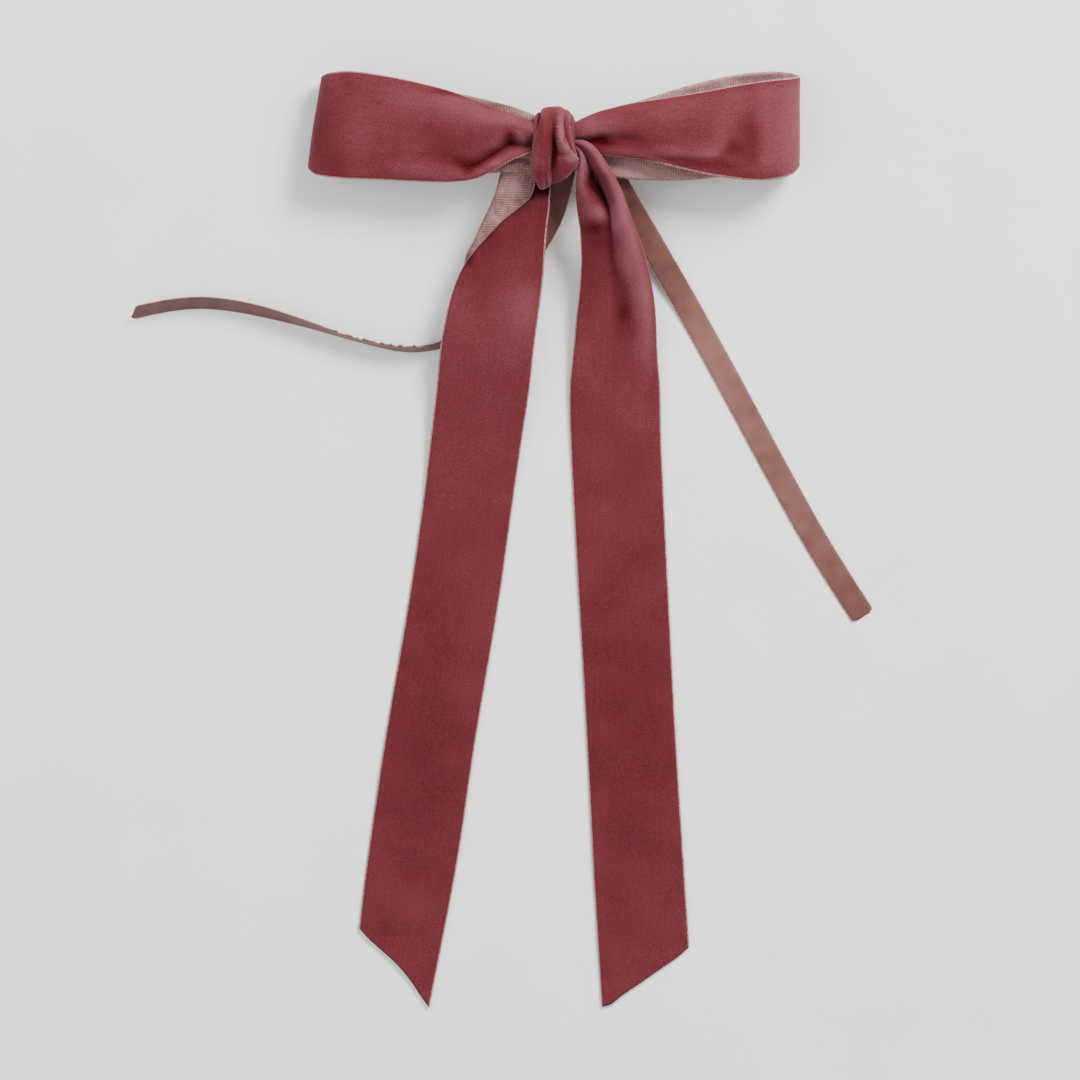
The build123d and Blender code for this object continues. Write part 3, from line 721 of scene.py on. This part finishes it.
# ---- Knot ------------------------------------------------------------------------------------
KNOT_CENTRE_Z = 16.6
KNOT_REACH_Y = 10.2
KNOT_REACH_Z = 5.4
KNOT_WRAP_THICK = 0.7
KNOT_LAYER_THICK = 0.6
KNOT_ROUNDING = 0.4
KNOT_FOLD_DEPTH = 0.8
KNOT_RUFFLE_SIZE = 2.6
KNOT_WRAP = [
    (135, [(-3.7, -1.1), (-3.3, -0.5), (-2.9, -0.2), (-2.5, -0.1), (-2.3, -0.1), (-2.1, -0.1),
           (-1.9, -0.1), (-1.3, -0.2), (-0.7, -0.2), (-0.2, 0), (0.3, 0.1), (0.8, 0.1), (1.3, -0.1),
           (1.8, -0.4), (2.2, -1.1)]),
    (90, [(-3.9, -0.3), (-3.5, 0.3), (-3, 0.5), (-2.6, 0.6), (-2.4, 0.6), (-2.2, 0.7), (-2, 0.8),
          (-1.3, 0.85), (-0.7, 0.9), (-0.2, 0.95), (0.3, 0.9), (0.9, 0.9), (1.5, 0.7), (2.1, 0.3),
          (2.6, -0.5)]),
    (65, [(-4, -0.2), (-3.6, 0.5), (-3.1, 0.9), (-2.6, 0.9), (-2.4, 0.8), (-2.1, 0.95), (-1.9, 0.9),
          (-1.2, 0.9), (-0.6, 0.95), (0, 1.05), (0.5, 1.1), (1, 1.2), (1.4, 1.2), (1.8, 1.1),
          (2.1, 0.7)]),
    (48, [(-4.2, -0.1), (-3.8, 0.7), (-3.2, 1.2), (-2.6, 1.1), (-2.4, 1), (-2.1, 0.95), (-1.8, 0.8),
          (-1.1, 0.6), (-0.5, 0.8), (0, 1.1), (0.5, 1.4), (0.9, 1.5), (1.3, 1.5), (1.7, 1.4),
          (1.95, 1)]),
    (33, [(-4.8, 0), (-4.2, 0.9), (-3.4, 1.4), (-2.7, 1.2), (-2.4, 0.9), (-2.1, 0.7), (-1.8, 0.5),
          (-0.9, 0), (-0.3, 0.4), (0.2, 1), (0.6, 1.5), (1, 1.7), (1.4, 1.6), (1.7, 1.5),
          (1.9, 1.1)]),
    (20, [(-5.3, 0.1), (-4.5, 1.1), (-3.5, 1.6), (-2.7, 1.3), (-2.4, 1), (-2.1, 0.6), (-1.7, 0.2),
          (-0.8, -0.8), (-0.1, -0.2), (0.4, 0.9), (0.8, 1.6), (1.2, 1.9), (1.6, 1.8), (1.9, 1.6),
          (2.15, 1.2)]),
    (10, [(-5.7, 0.1), (-4.8, 1.2), (-3.6, 1.7), (-2.7, 1.3), (-2.4, 1), (-2.1, 0.6), (-1.7, 0.1),
          (-0.7, -1.2), (0.1, -0.7), (0.7, 0.7), (1.1, 1.6), (1.5, 2), (1.9, 1.9), (2.3, 1.7),
          (2.6, 1.3)]),
    (0, [(-6.3, -0.9), (-5.2, 1.1), (-3.8, 1.8), (-2.8, 1.4), (-2.5, 1.1), (-2.2, 0.6), (-1.8, 0),
         (-0.7, -1.4), (0.4, -0.9), (1.1, 0.2), (1.6, 1.2), (2.1, 1.8), (2.6, 1.9), (3, 1.8),
         (3.4, 1.4)]),
    (-10, [(-6.6, -1.3), (-5.5, 1), (-3.9, 1.9), (-2.9, 1.5), (-2.6, 1.1), (-2.3, 0.5),
           (-1.9, -0.2), (-1, -1.4), (0.2, -1), (1.4, -0.2), (2.4, 0.7), (3.1, 1.3), (3.7, 1.5),
           (4.2, 1.5), (4.7, 1.1)]),
    (-18, [(-6.8, -1.5), (-5.7, 1), (-4, 1.9), (-3, 1.5), (-2.7, 1.2), (-2.3, 0.6), (-2, -0.1),
           (-1.2, -1.3), (-0.2, -0.7), (1.2, 0.1), (2.6, 0.7), (3.8, 1.1), (4.7, 1.1), (5.4, 0.7),
           (6, 0)]),
    (-27, [(-6.8, -1.6), (-5.7, 0.9), (-4, 1.8), (-3.1, 1.4), (-2.7, 1.1), (-2.4, 0.6), (-2, -0.1),
           (-1.3, -1.3), (-0.5, -0.5), (0.9, 0.3), (2.2, 0.7), (3.5, 0.7), (4.6, 0.4), (5.6, -0.3),
           (6.1, -1.4)]),
    (-40, [(-6.6, -1.5), (-5.6, 0.8), (-4.1, 1.5), (-3.4, 1.2), (-3, 0.7), (-2.5, 0.8), (-1.9, 0.2),
           (-1.3, -0.5), (-0.6, -0.2), (0.3, 0.3), (1.4, 0.7), (2.6, 0.5), (3.7, -0.2), (4.6, -1.2),
           (5.1, -2.2)]),
    (-57, [(-5.9, -1.2), (-5, 0.8), (-4, 1.3), (-3.4, 1.1), (-2.9, 0.3), (-2.3, 0.7), (-1.8, 0.3),
           (-1.3, -0.2), (-0.8, -0.2), (-0.1, 0), (0.8, 0.1), (1.8, -0.1), (2.7, -0.8), (3.4, -1.6),
           (3.8, -2.4)]),
    (-80, [(-5, -0.6), (-4.5, 0.7), (-3.8, 1.2), (-3.3, 1.1), (-2.9, 0.8), (-2.4, 0.6), (-1.9, 0.2),
           (-1.4, -0.2), (-0.9, -0.5), (-0.4, -0.7), (0.1, -0.8), (0.8, -1.1), (1.6, -1.6),
           (2.3, -2.3), (2.8, -3)]),
    (-110, [(-4.6, -1), (-4.1, -0.2), (-3.6, 0), (-3.1, -0.1), (-2.7, -0.4), (-2.3, -0.6),
            (-1.9, -1), (-1.5, -1.4), (-1, -1.8), (-0.5, -1.9), (0, -1.9), (0.7, -2.1), (1.3, -2.4),
            (1.9, -2.8), (2.4, -3.3)]),
    (-145, [(-4.2, -2.4), (-3.8, -2), (-3.4, -1.8), (-3, -1.8), (-2.6, -1.9), (-2.2, -2),
            (-1.8, -2.2), (-1.4, -2.4), (-1, -2.6), (-0.5, -2.7), (0, -2.7), (0.6, -2.8), (1.2, -3),
            (1.7, -3.2), (2.2, -3.5)]),
]
# Each lower layer: the edge that carries its picots, then its sections.
KNOT_UNDERLAYERS = {
    "knot_left_layer": ("last", [
        (140, [(-5.5, -2.4), (-5.1, -1.6), (-4.5, -1.4), (-3.9, -1.3), (-3.3, -1.6)]),
        (92, [(-5.6, -1.8), (-5.1, -0.8), (-4.5, -0.6), (-3.9, -0.7), (-3.2, -1.1)]),
        (60, [(-5.85, -1.4), (-5.4, -0.8), (-4.8, -1), (-4.2, -1.1), (-3.4, -1)]),
        (35, [(-6, -1.1), (-5.6, -0.6), (-5.1, -0.8), (-4.5, -1), (-3.8, -1)]),
        (12, [(-6.1, -1), (-5.8, -0.6), (-5.4, -0.7), (-4.8, -0.9), (-4.2, -1)]),
        (-4, [(-6.4, -1.3), (-6.1, -1), (-5.7, -1), (-5.2, -1.2), (-4.6, -1.4)]),
    ]),
    "knot_right_layer": ("first", [
        (135, [(0.8, -1.6), (1.6, -1), (2.4, -0.8), (3.1, -1.1), (3.6, -1.8)]),
        (88, [(1.2, 0.1), (2, -0.2), (2.8, 0), (3.5, -0.3), (4, -1)]),
        (60, [(1.2, 0.3), (2.1, 0.2), (2.8, 0.3), (3.3, 0.2), (3.6, -0.2)]),
        (40, [(1.2, 0.6), (2.1, 0.4), (2.8, 0.5), (3.4, 0.4), (3.65, 0.1)]),
        (24, [(1.4, 0.7), (2.4, 0.4), (3.1, 0.5), (3.6, 0.5), (3.9, 0.2)]),
        (12, [(1.8, 0.7), (2.8, 0.4), (3.5, 0.5), (4, 0.5), (4.25, 0.2)]),
        (2, [(2.6, 0.5), (3.4, 0.3), (4, 0.3), (4.4, 0.2), (4.6, 0)]),
        (-8, [(3.6, -0.6), (4.2, -0.2), (4.7, 0), (5.1, -0.1), (5.4, -0.5)]),
        (-18, [(4.8, -1.4), (5.1, -1.1), (5.4, -1), (5.7, -1.2), (5.9, -1.6)]),
    ]),
    "knot_outer_layer": ("first", [
        (135, [(2.4, -2.6), (3, -2), (3.7, -1.9), (4.2, -2.2), (4.5, -3)]),
        (86, [(2.7, -1), (3.3, -0.9), (3.9, -1), (4.4, -1.4), (4.8, -2.4)]),
        (58, [(2.8, -0.7), (3.5, -0.7), (4.1, -0.8), (4.6, -1.1), (4.9, -2)]),
        (35, [(3, -0.5), (3.8, -0.6), (4.3, -0.8), (4.7, -1.1), (4.9, -1.9)]),
        (15, [(3.4, -0.5), (4.1, -0.6), (4.5, -0.8), (4.8, -1.1), (5, -1.9)]),
        (-4, [(3.8, -0.8), (4.4, -0.9), (4.8, -1), (5.1, -1.3), (5.3, -2.1)]),
        (-16, [(4.4, -2.2), (4.9, -1.8), (5.2, -1.6), (5.5, -1.8), (5.7, -2.4)]),
    ]),
}
# Rows: degrees, left, right, end_lift, lift.
KNOT_CORE = [
    (-180, -4.4, 3.8, -0.4, -0.4), (-150, -4.4, 3, -0.8, -0.8), (-120, -4.2, 2, -2, -2),
    (-90, -4.4, 2.2, -3.2, -1.9), (-60, -4.8, 3.2, -3, -1.8), (-30, -4.8, 4.4, -2.8, -2.2),
    (0, -4.7, 4.2, -2.6, -2.4), (30, -4.6, 4.2, -2.6, -1), (60, -4.6, 4.3, -2.6, -0.5),
    (90, -4.5, 4.3, -2.6, -0.3), (120, -4.4, 4.2, -1.8, -0.6), (150, -4.4, 4.2, -0.8, -0.6),
    (180, -4.4, 3.8, -0.4, -0.4),
]
# Painted light and shade on the knot: painted shade in its deep fold, its small creases and on its
# left roll; painted highlights on the ridge beside the fold and on the lower lobe.
KNOT_STROKES = [
    (-3.8, 1, 1.6, 7, -0.9), (1.5, -6, 3, 2.6, -0.6), (-0.6, 0.3, 1, 3.6, -1.6),
    (-0.4, -3.6, 1.2, 2.2, -1), (4.2, -2.8, 1.6, 1, 2.1), (1.25, 3, 0.65, 4.5, 2),
    (2.7, -0.6, 0.8, 1.5, 1.6), (-4.3, -7.2, 1.3, 1.8, -0.7), (2.4, 9, 2, 1.6, 0.3),
    (-4.7, 8, 0.8, 3, -0.7),
]


def knot_section(degrees, points):
    """A section across a fold of the knot: (x, lift) at an angle round the knot, 0 in front."""
    angle = math.radians(degrees)
    y = KNOT_REACH_Y * math.sin(angle)
    z = KNOT_CENTRE_Z + KNOT_REACH_Z * math.cos(angle)
    out_y, out_z = math.sin(angle) / KNOT_REACH_Y, math.cos(angle) / KNOT_REACH_Z
    size = math.hypot(out_y, out_z)
    return [(x, y + lift * out_y / size, z + lift * out_z / size) for x, lift in points]


def core_section(degrees, left, right, end_lift, lift):
    """A section along the knot's core: rounded off at both ends, fuller in its middle."""
    shoulder = (end_lift + lift) / 2
    shares = (0.0, 0.04, 0.15, 0.35, 0.55, 0.75, 0.88, 0.96, 1.0)
    lifts = (end_lift - 1.9, end_lift - 0.8, end_lift - 0.2, lift, lift, shoulder, end_lift - 0.2,
             end_lift - 0.8, end_lift - 1.9)
    return knot_section(degrees, [(left + (right - left) * s, z) for s, z in zip(shares, lifts)])


def pucker(grid):
    """Small gathers across the bright ridge beside the knot's deep fold."""
    ridge, ridge_reach, pitch, height = 0.70, 0.055, 0.95, 0.22
    on_ridge = np.exp(-((np.linspace(0, 1, grid.shape[1]) - ridge) / ridge_reach) ** 2)
    y = grid[..., 1]
    wave = np.sin(y * 2 * math.pi / pitch + np.sin(y * 1.7))
    fade = np.clip((y + 3.0) / 2.0, 0, 1) * np.clip((7.5 - y) / 2.0, 0, 1)
    lift = height * wave * fade * (grid[..., 2] > KNOT_CENTRE_Z) * on_ridge[None, :]
    return grid + grid_normals(grid) * lift[..., None]


def in_front(line, lowest_y):
    """The stretch of an edge line of the knot that shows in front, above a height on the bow."""
    return line[(line[:, 1] > lowest_y) & (line[:, 2] > KNOT_CENTRE_Z - 1.0)]


def flipped(grid):
    """The grid read from its other edge, so that its front faces the other way."""
    return grid[:, ::-1]


def knot_layer(name, grid, strokes=()):
    """One lower layer of the knot."""
    return shell(name, grid, KNOT_LAYER_THICK, RIBBON_FACES, KNOT_ROUNDING, KNOT_FOLD_DEPTH,
                 strokes)


def knot():
    """The ribbon's turn round the middle: a wrap with a deep fold, over three layers and a core."""
    wrap = surface_from([knot_section(*row) for row in KNOT_WRAP], step=0.22, across=61)
    wrap = flipped(ruffle(flipped(wrap), 0.16, KNOT_RUFFLE_SIZE, 5.0))
    wrap = flipped(pucker(wrap))
    edge_lines = [in_front(wrap[:, 0], -3.4), in_front(wrap[:, -1], 0.5)]
    made = [shell("knot_wrap", wrap, KNOT_WRAP_THICK, [VELVET, RIBBED, VELVET], KNOT_ROUNDING,
                  KNOT_FOLD_DEPTH, KNOT_STROKES),
            picot_edges("knot_wrap_picots", edge_lines, radius=0.22)]
    core = surface_from([core_section(*row) for row in KNOT_CORE], step=0.5, across=25)
    made.append(knot_layer("knot_core", ruffle(core, 0.3, KNOT_RUFFLE_SIZE, 9.0)))
    for name, (edge, rows) in KNOT_UNDERLAYERS.items():
        grid = flipped(surface_from([knot_section(*row) for row in rows], step=0.35, across=19))
        grid = ruffle(grid, 0.1, KNOT_RUFFLE_SIZE, 6.0 + len(made))
        made.append(knot_layer(name, grid, KNOT_STROKES))
        line = grid[:, 0] if edge == "first" else grid[:, -1]
        made.append(picot_edges(name + "_picots", [line], radius=0.2))
    for piece in made:
        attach(piece, "bow")
    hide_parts("knot")


# ---- Satin tie -------------------------------------------------------------------------------
LEFT_TIE_ROUTE = [
    (2.2, -4.75, 9.6),
    (0.6, -15.0, 7.2),
    (-5.5, -27.0, 4.6),
    (-14.0, -40.5, 3.6),
    (-24.5, -51.5, 3.5),
    (-38.0, -56.2, 3.4),
    (-54.0, -53.4, 3.5),
    (-72.0, -47.3, 3.5),
    (-90.0, -42.8, 3.4),
    (-105.0, -42.2, 3.4),
    (-117.3, -45.3, 3.4),
]
LEFT_TIE_TURNS = [(0.0, 10), (0.12, 24), (0.3, 62), (0.42, 75), (0.49, 78), (0.56, 83), (0.61, 82),
                  (0.66, 77), (0.71, 71), (0.77, 65), (0.85, 63), (1.0, 63)]
RIGHT_TIE_ROUTE = [
    (2.8, 5.4, 11.9),
    (13.9, -4.9, 11.6),
    (22.6, -19.6, 5.2),
    (34.6, -40.0, 0.3),
    (48.6, -65.4, 0.3),
    (62.4, -91.3, 0.3),
    (74.6, -113.2, 0.3),
    (85.4, -129.6, 0.3),
]
RIGHT_TIE_TURNS = [(0.0, 0), (0.5, 0), (1.0, 0)]
# Painted light and shade on the ties: painted shade where the left tie comes out from under the
# knot and the left tail, and on the right tie's top below the loop; a painted highlight on the
# right tie's middle; darker towards both far ends.
LEFT_TIE_STROKES = [(1, -12, 6, 12, -0.9), (-40, -55, 14, 6, -0.8), (-88, -44, 40, 10, -0.5)]
RIGHT_TIE_STROKES = [(21, -18, 9, 12, -0.6), (32, -36, 7, 8, -0.4), (44, -58, 10, 12, 0.8),
                     (82, -124, 14, 20, -0.5)]
TIE_CORNER = 1.3
TIE_CUT_LENGTH = 4
TIE_FRAY = 0.7


def route_line(name, route):
    """The smooth line of a NURBS spline with the route's points as its control points."""
    data = bpy.data.curves.new(name + "_route", "CURVE")
    data.dimensions = "3D"
    spline = data.splines.new("NURBS")
    spline.points.add(len(route) - 1)
    for point, place in zip(spline.points, route):
        point.co = (*[c * MM for c in place], 1)
    spline.order_u = 3
    spline.use_endpoint_u = True
    spline.resolution_u = 24
    holder = bpy.data.objects.new(name + "_route", data)
    mesh = bpy.data.meshes.new_from_object(holder)
    line = np.array([v.co for v in mesh.vertices]) / MM
    bpy.data.objects.remove(holder)
    bpy.data.meshes.remove(mesh)
    bpy.data.curves.remove(data)
    return line


def satin_tie(name, node, route, turns, strokes, slant=0.0, ragged=(1.0, 1.0)):
    """A free end of the satin ribbon: flat at 0 degrees of turn, standing on its edge at 90.

    Its end is cut slant millimetres askew, and its edge is frayed between two shares of its length.
    """
    line = even_line(route_line(name, route), 0.6)
    run = lengths_along(line)
    share = run / run[-1]
    turn = np.radians(through([t[1] for t in turns], [t[0] for t in turns], share))
    tangent = unit(np.gradient(line, axis=0))
    side = unit(np.cross(tangent, [0.0, 0.0, 1.0]))
    up = np.cross(side, tangent)
    width_way = side * np.cos(turn)[:, None] + up * np.sin(turn)[:, None]
    into_corner = np.clip((run - run[-1] + TIE_CORNER) / TIE_CORNER, 0, 1)
    half_width = SATIN_WIDTH / 2 - TIE_CORNER * (1 - np.sqrt(1 - into_corner**2))
    places = np.linspace(-1, 1, 13)[None, :, None]
    grid = line[:, None, :] + width_way[:, None, :] * places * half_width[:, None, None]
    into_end = np.clip((run - run[-1] + TIE_CUT_LENGTH) / TIE_CUT_LENGTH, 0, 1)[:, None, None]
    grid += tangent[:, None, :] * places * slant * into_end
    for k in np.flatnonzero((share > ragged[0]) & (share < ragged[1])):
        grid[k, -1] += side[k] * TIE_FRAY * noise.noise(Vector(line[k] * 1.9))
    grid[..., 2] = np.maximum(grid[..., 2], SATIN_THICK)
    body = shell(name, grid, SATIN_THICK, SATIN_FACES, rounding=0.4, strokes=strokes)
    trim = picot_edges(name + "_picots", [grid[:, 0], grid[:, -1]], radius=0.16, pitch=0.9)
    for piece in (body, trim):
        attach(piece, "bow")
    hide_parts(node)


def tie_band():
    """The satin ribbon's middle, passed round the base plate behind the knot."""
    low, high = np.array(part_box("tie_band")) / MM
    centre = (low + high) / 2
    half_y, half_z = (high - low)[1:] / 2
    corner = 0.5
    ring = []
    for quarter in range(4):
        for step in range(7):
            angle = math.radians(90 * quarter + 15 * step)
            sign_y = 1 if quarter in (0, 3) else -1
            sign_z = 1 if quarter in (0, 1) else -1
            ring.append((sign_y * (half_y - corner) + corner * math.cos(angle),
                         sign_z * (half_z - corner) + corner * math.sin(angle)))
    ring.append(ring[0])
    xs = np.linspace(-SATIN_WIDTH / 2, SATIN_WIDTH / 2, 7)
    sections = [[(x, centre[1] + y, centre[2] + z) for x in xs] for y, z in ring]
    band = shell("tie_band_ribbon", np.asarray(sections), SATIN_THICK, SATIN_FACES, rounding=0.4)
    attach(band, "bow")
    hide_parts("tie_band")


# ---- Clip ------------------------------------------------------------------------------------
def dress_clip():
    """Steel on the CAD parts of the clip."""
    plated = ("clip_base_plate", "hinge_pin", "clasp_arm", "clip_rivets")
    sprung = ("tension_bar", "catch_bridge", "catch_prong_upper", "catch_prong_lower")
    for names, material in ((plated, PLATED), (sprung, SPRING)):
        for name in names:
            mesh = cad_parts[name].data
            mesh.materials.clear()
            mesh.materials.append(material)


# ---- Floor, light and camera -----------------------------------------------------------------
VIEW_CENTRE = (-0.0044, -0.1083)
VIEW_SIZE = 0.3
VIEW_DISTANCE = 3.0
SENSOR = 36.0


def floor():
    """A pale studio floor."""
    bpy.ops.mesh.primitive_plane_add(size=6, location=(0, 0, 0))
    plane = bpy.context.object
    plane.name = "studio_floor"
    material, tree, shader, place = node_material("pale_floor", Roughness=0.9)
    speckle = noise_value(tree, place, 40.0, 4.0)
    colour = colour_ramp(tree, speckle, (0.3, (0.86, 0.855, 0.85)), (0.7, (0.89, 0.885, 0.88)))
    tree.links.new(colour, shader.inputs["Base Color"])
    plane.data.materials.append(material)


def area_light(name, place, target, size, power, colour):
    """A soft square light aimed at a point."""
    data = bpy.data.lights.new(name, "AREA")
    data.size = size
    data.energy = power
    data.color = colour
    lamp = bpy.data.objects.new(name, data)
    lamp.location = place
    lamp.rotation_euler = (Vector(target) - Vector(place)).to_track_quat("-Z", "Y").to_euler()
    bpy.context.scene.collection.objects.link(lamp)


def lights():
    """A broad key from the upper right, a weak fill from the left and an even white world."""
    target = (0, -0.08, 0)
    area_light("key", (0.75, 0.8, 1.05), target, 0.6, 46.0, (1.0, 0.985, 0.97))
    area_light("fill", (-0.9, -0.1, 1.1), target, 1.2, 12.0, (0.97, 0.985, 1.0))
    world = bpy.data.worlds.new("studio")
    world.use_nodes = True
    background = world.node_tree.nodes["Background"]
    background.inputs["Color"].default_value = (1, 1, 1, 1)
    background.inputs["Strength"].default_value = 0.72
    bpy.context.scene.world = world


def camera():
    """A long lens straight above, with the bow's top towards the top of the frame."""
    data = bpy.data.cameras.new("camera")
    data.sensor_width = SENSOR
    data.lens = SENSOR * VIEW_DISTANCE / VIEW_SIZE
    data.clip_end = 20
    obj = bpy.data.objects.new("camera", data)
    obj.location = (*VIEW_CENTRE, VIEW_DISTANCE)
    bpy.context.scene.collection.objects.link(obj)
    bpy.context.scene.camera = obj


camera()
satin_tie("left_tie_ribbon", "left_tie", LEFT_TIE_ROUTE, LEFT_TIE_TURNS, LEFT_TIE_STROKES,
          slant=-0.8, ragged=(0.44, 0.62))
satin_tie("right_tie_ribbon", "right_tie", RIGHT_TIE_ROUTE, RIGHT_TIE_TURNS, RIGHT_TIE_STROKES)
tie_band()
left_loop()
right_loop()
left_tail()
right_tail()
knot()
dress_clip()
floor()
lights()
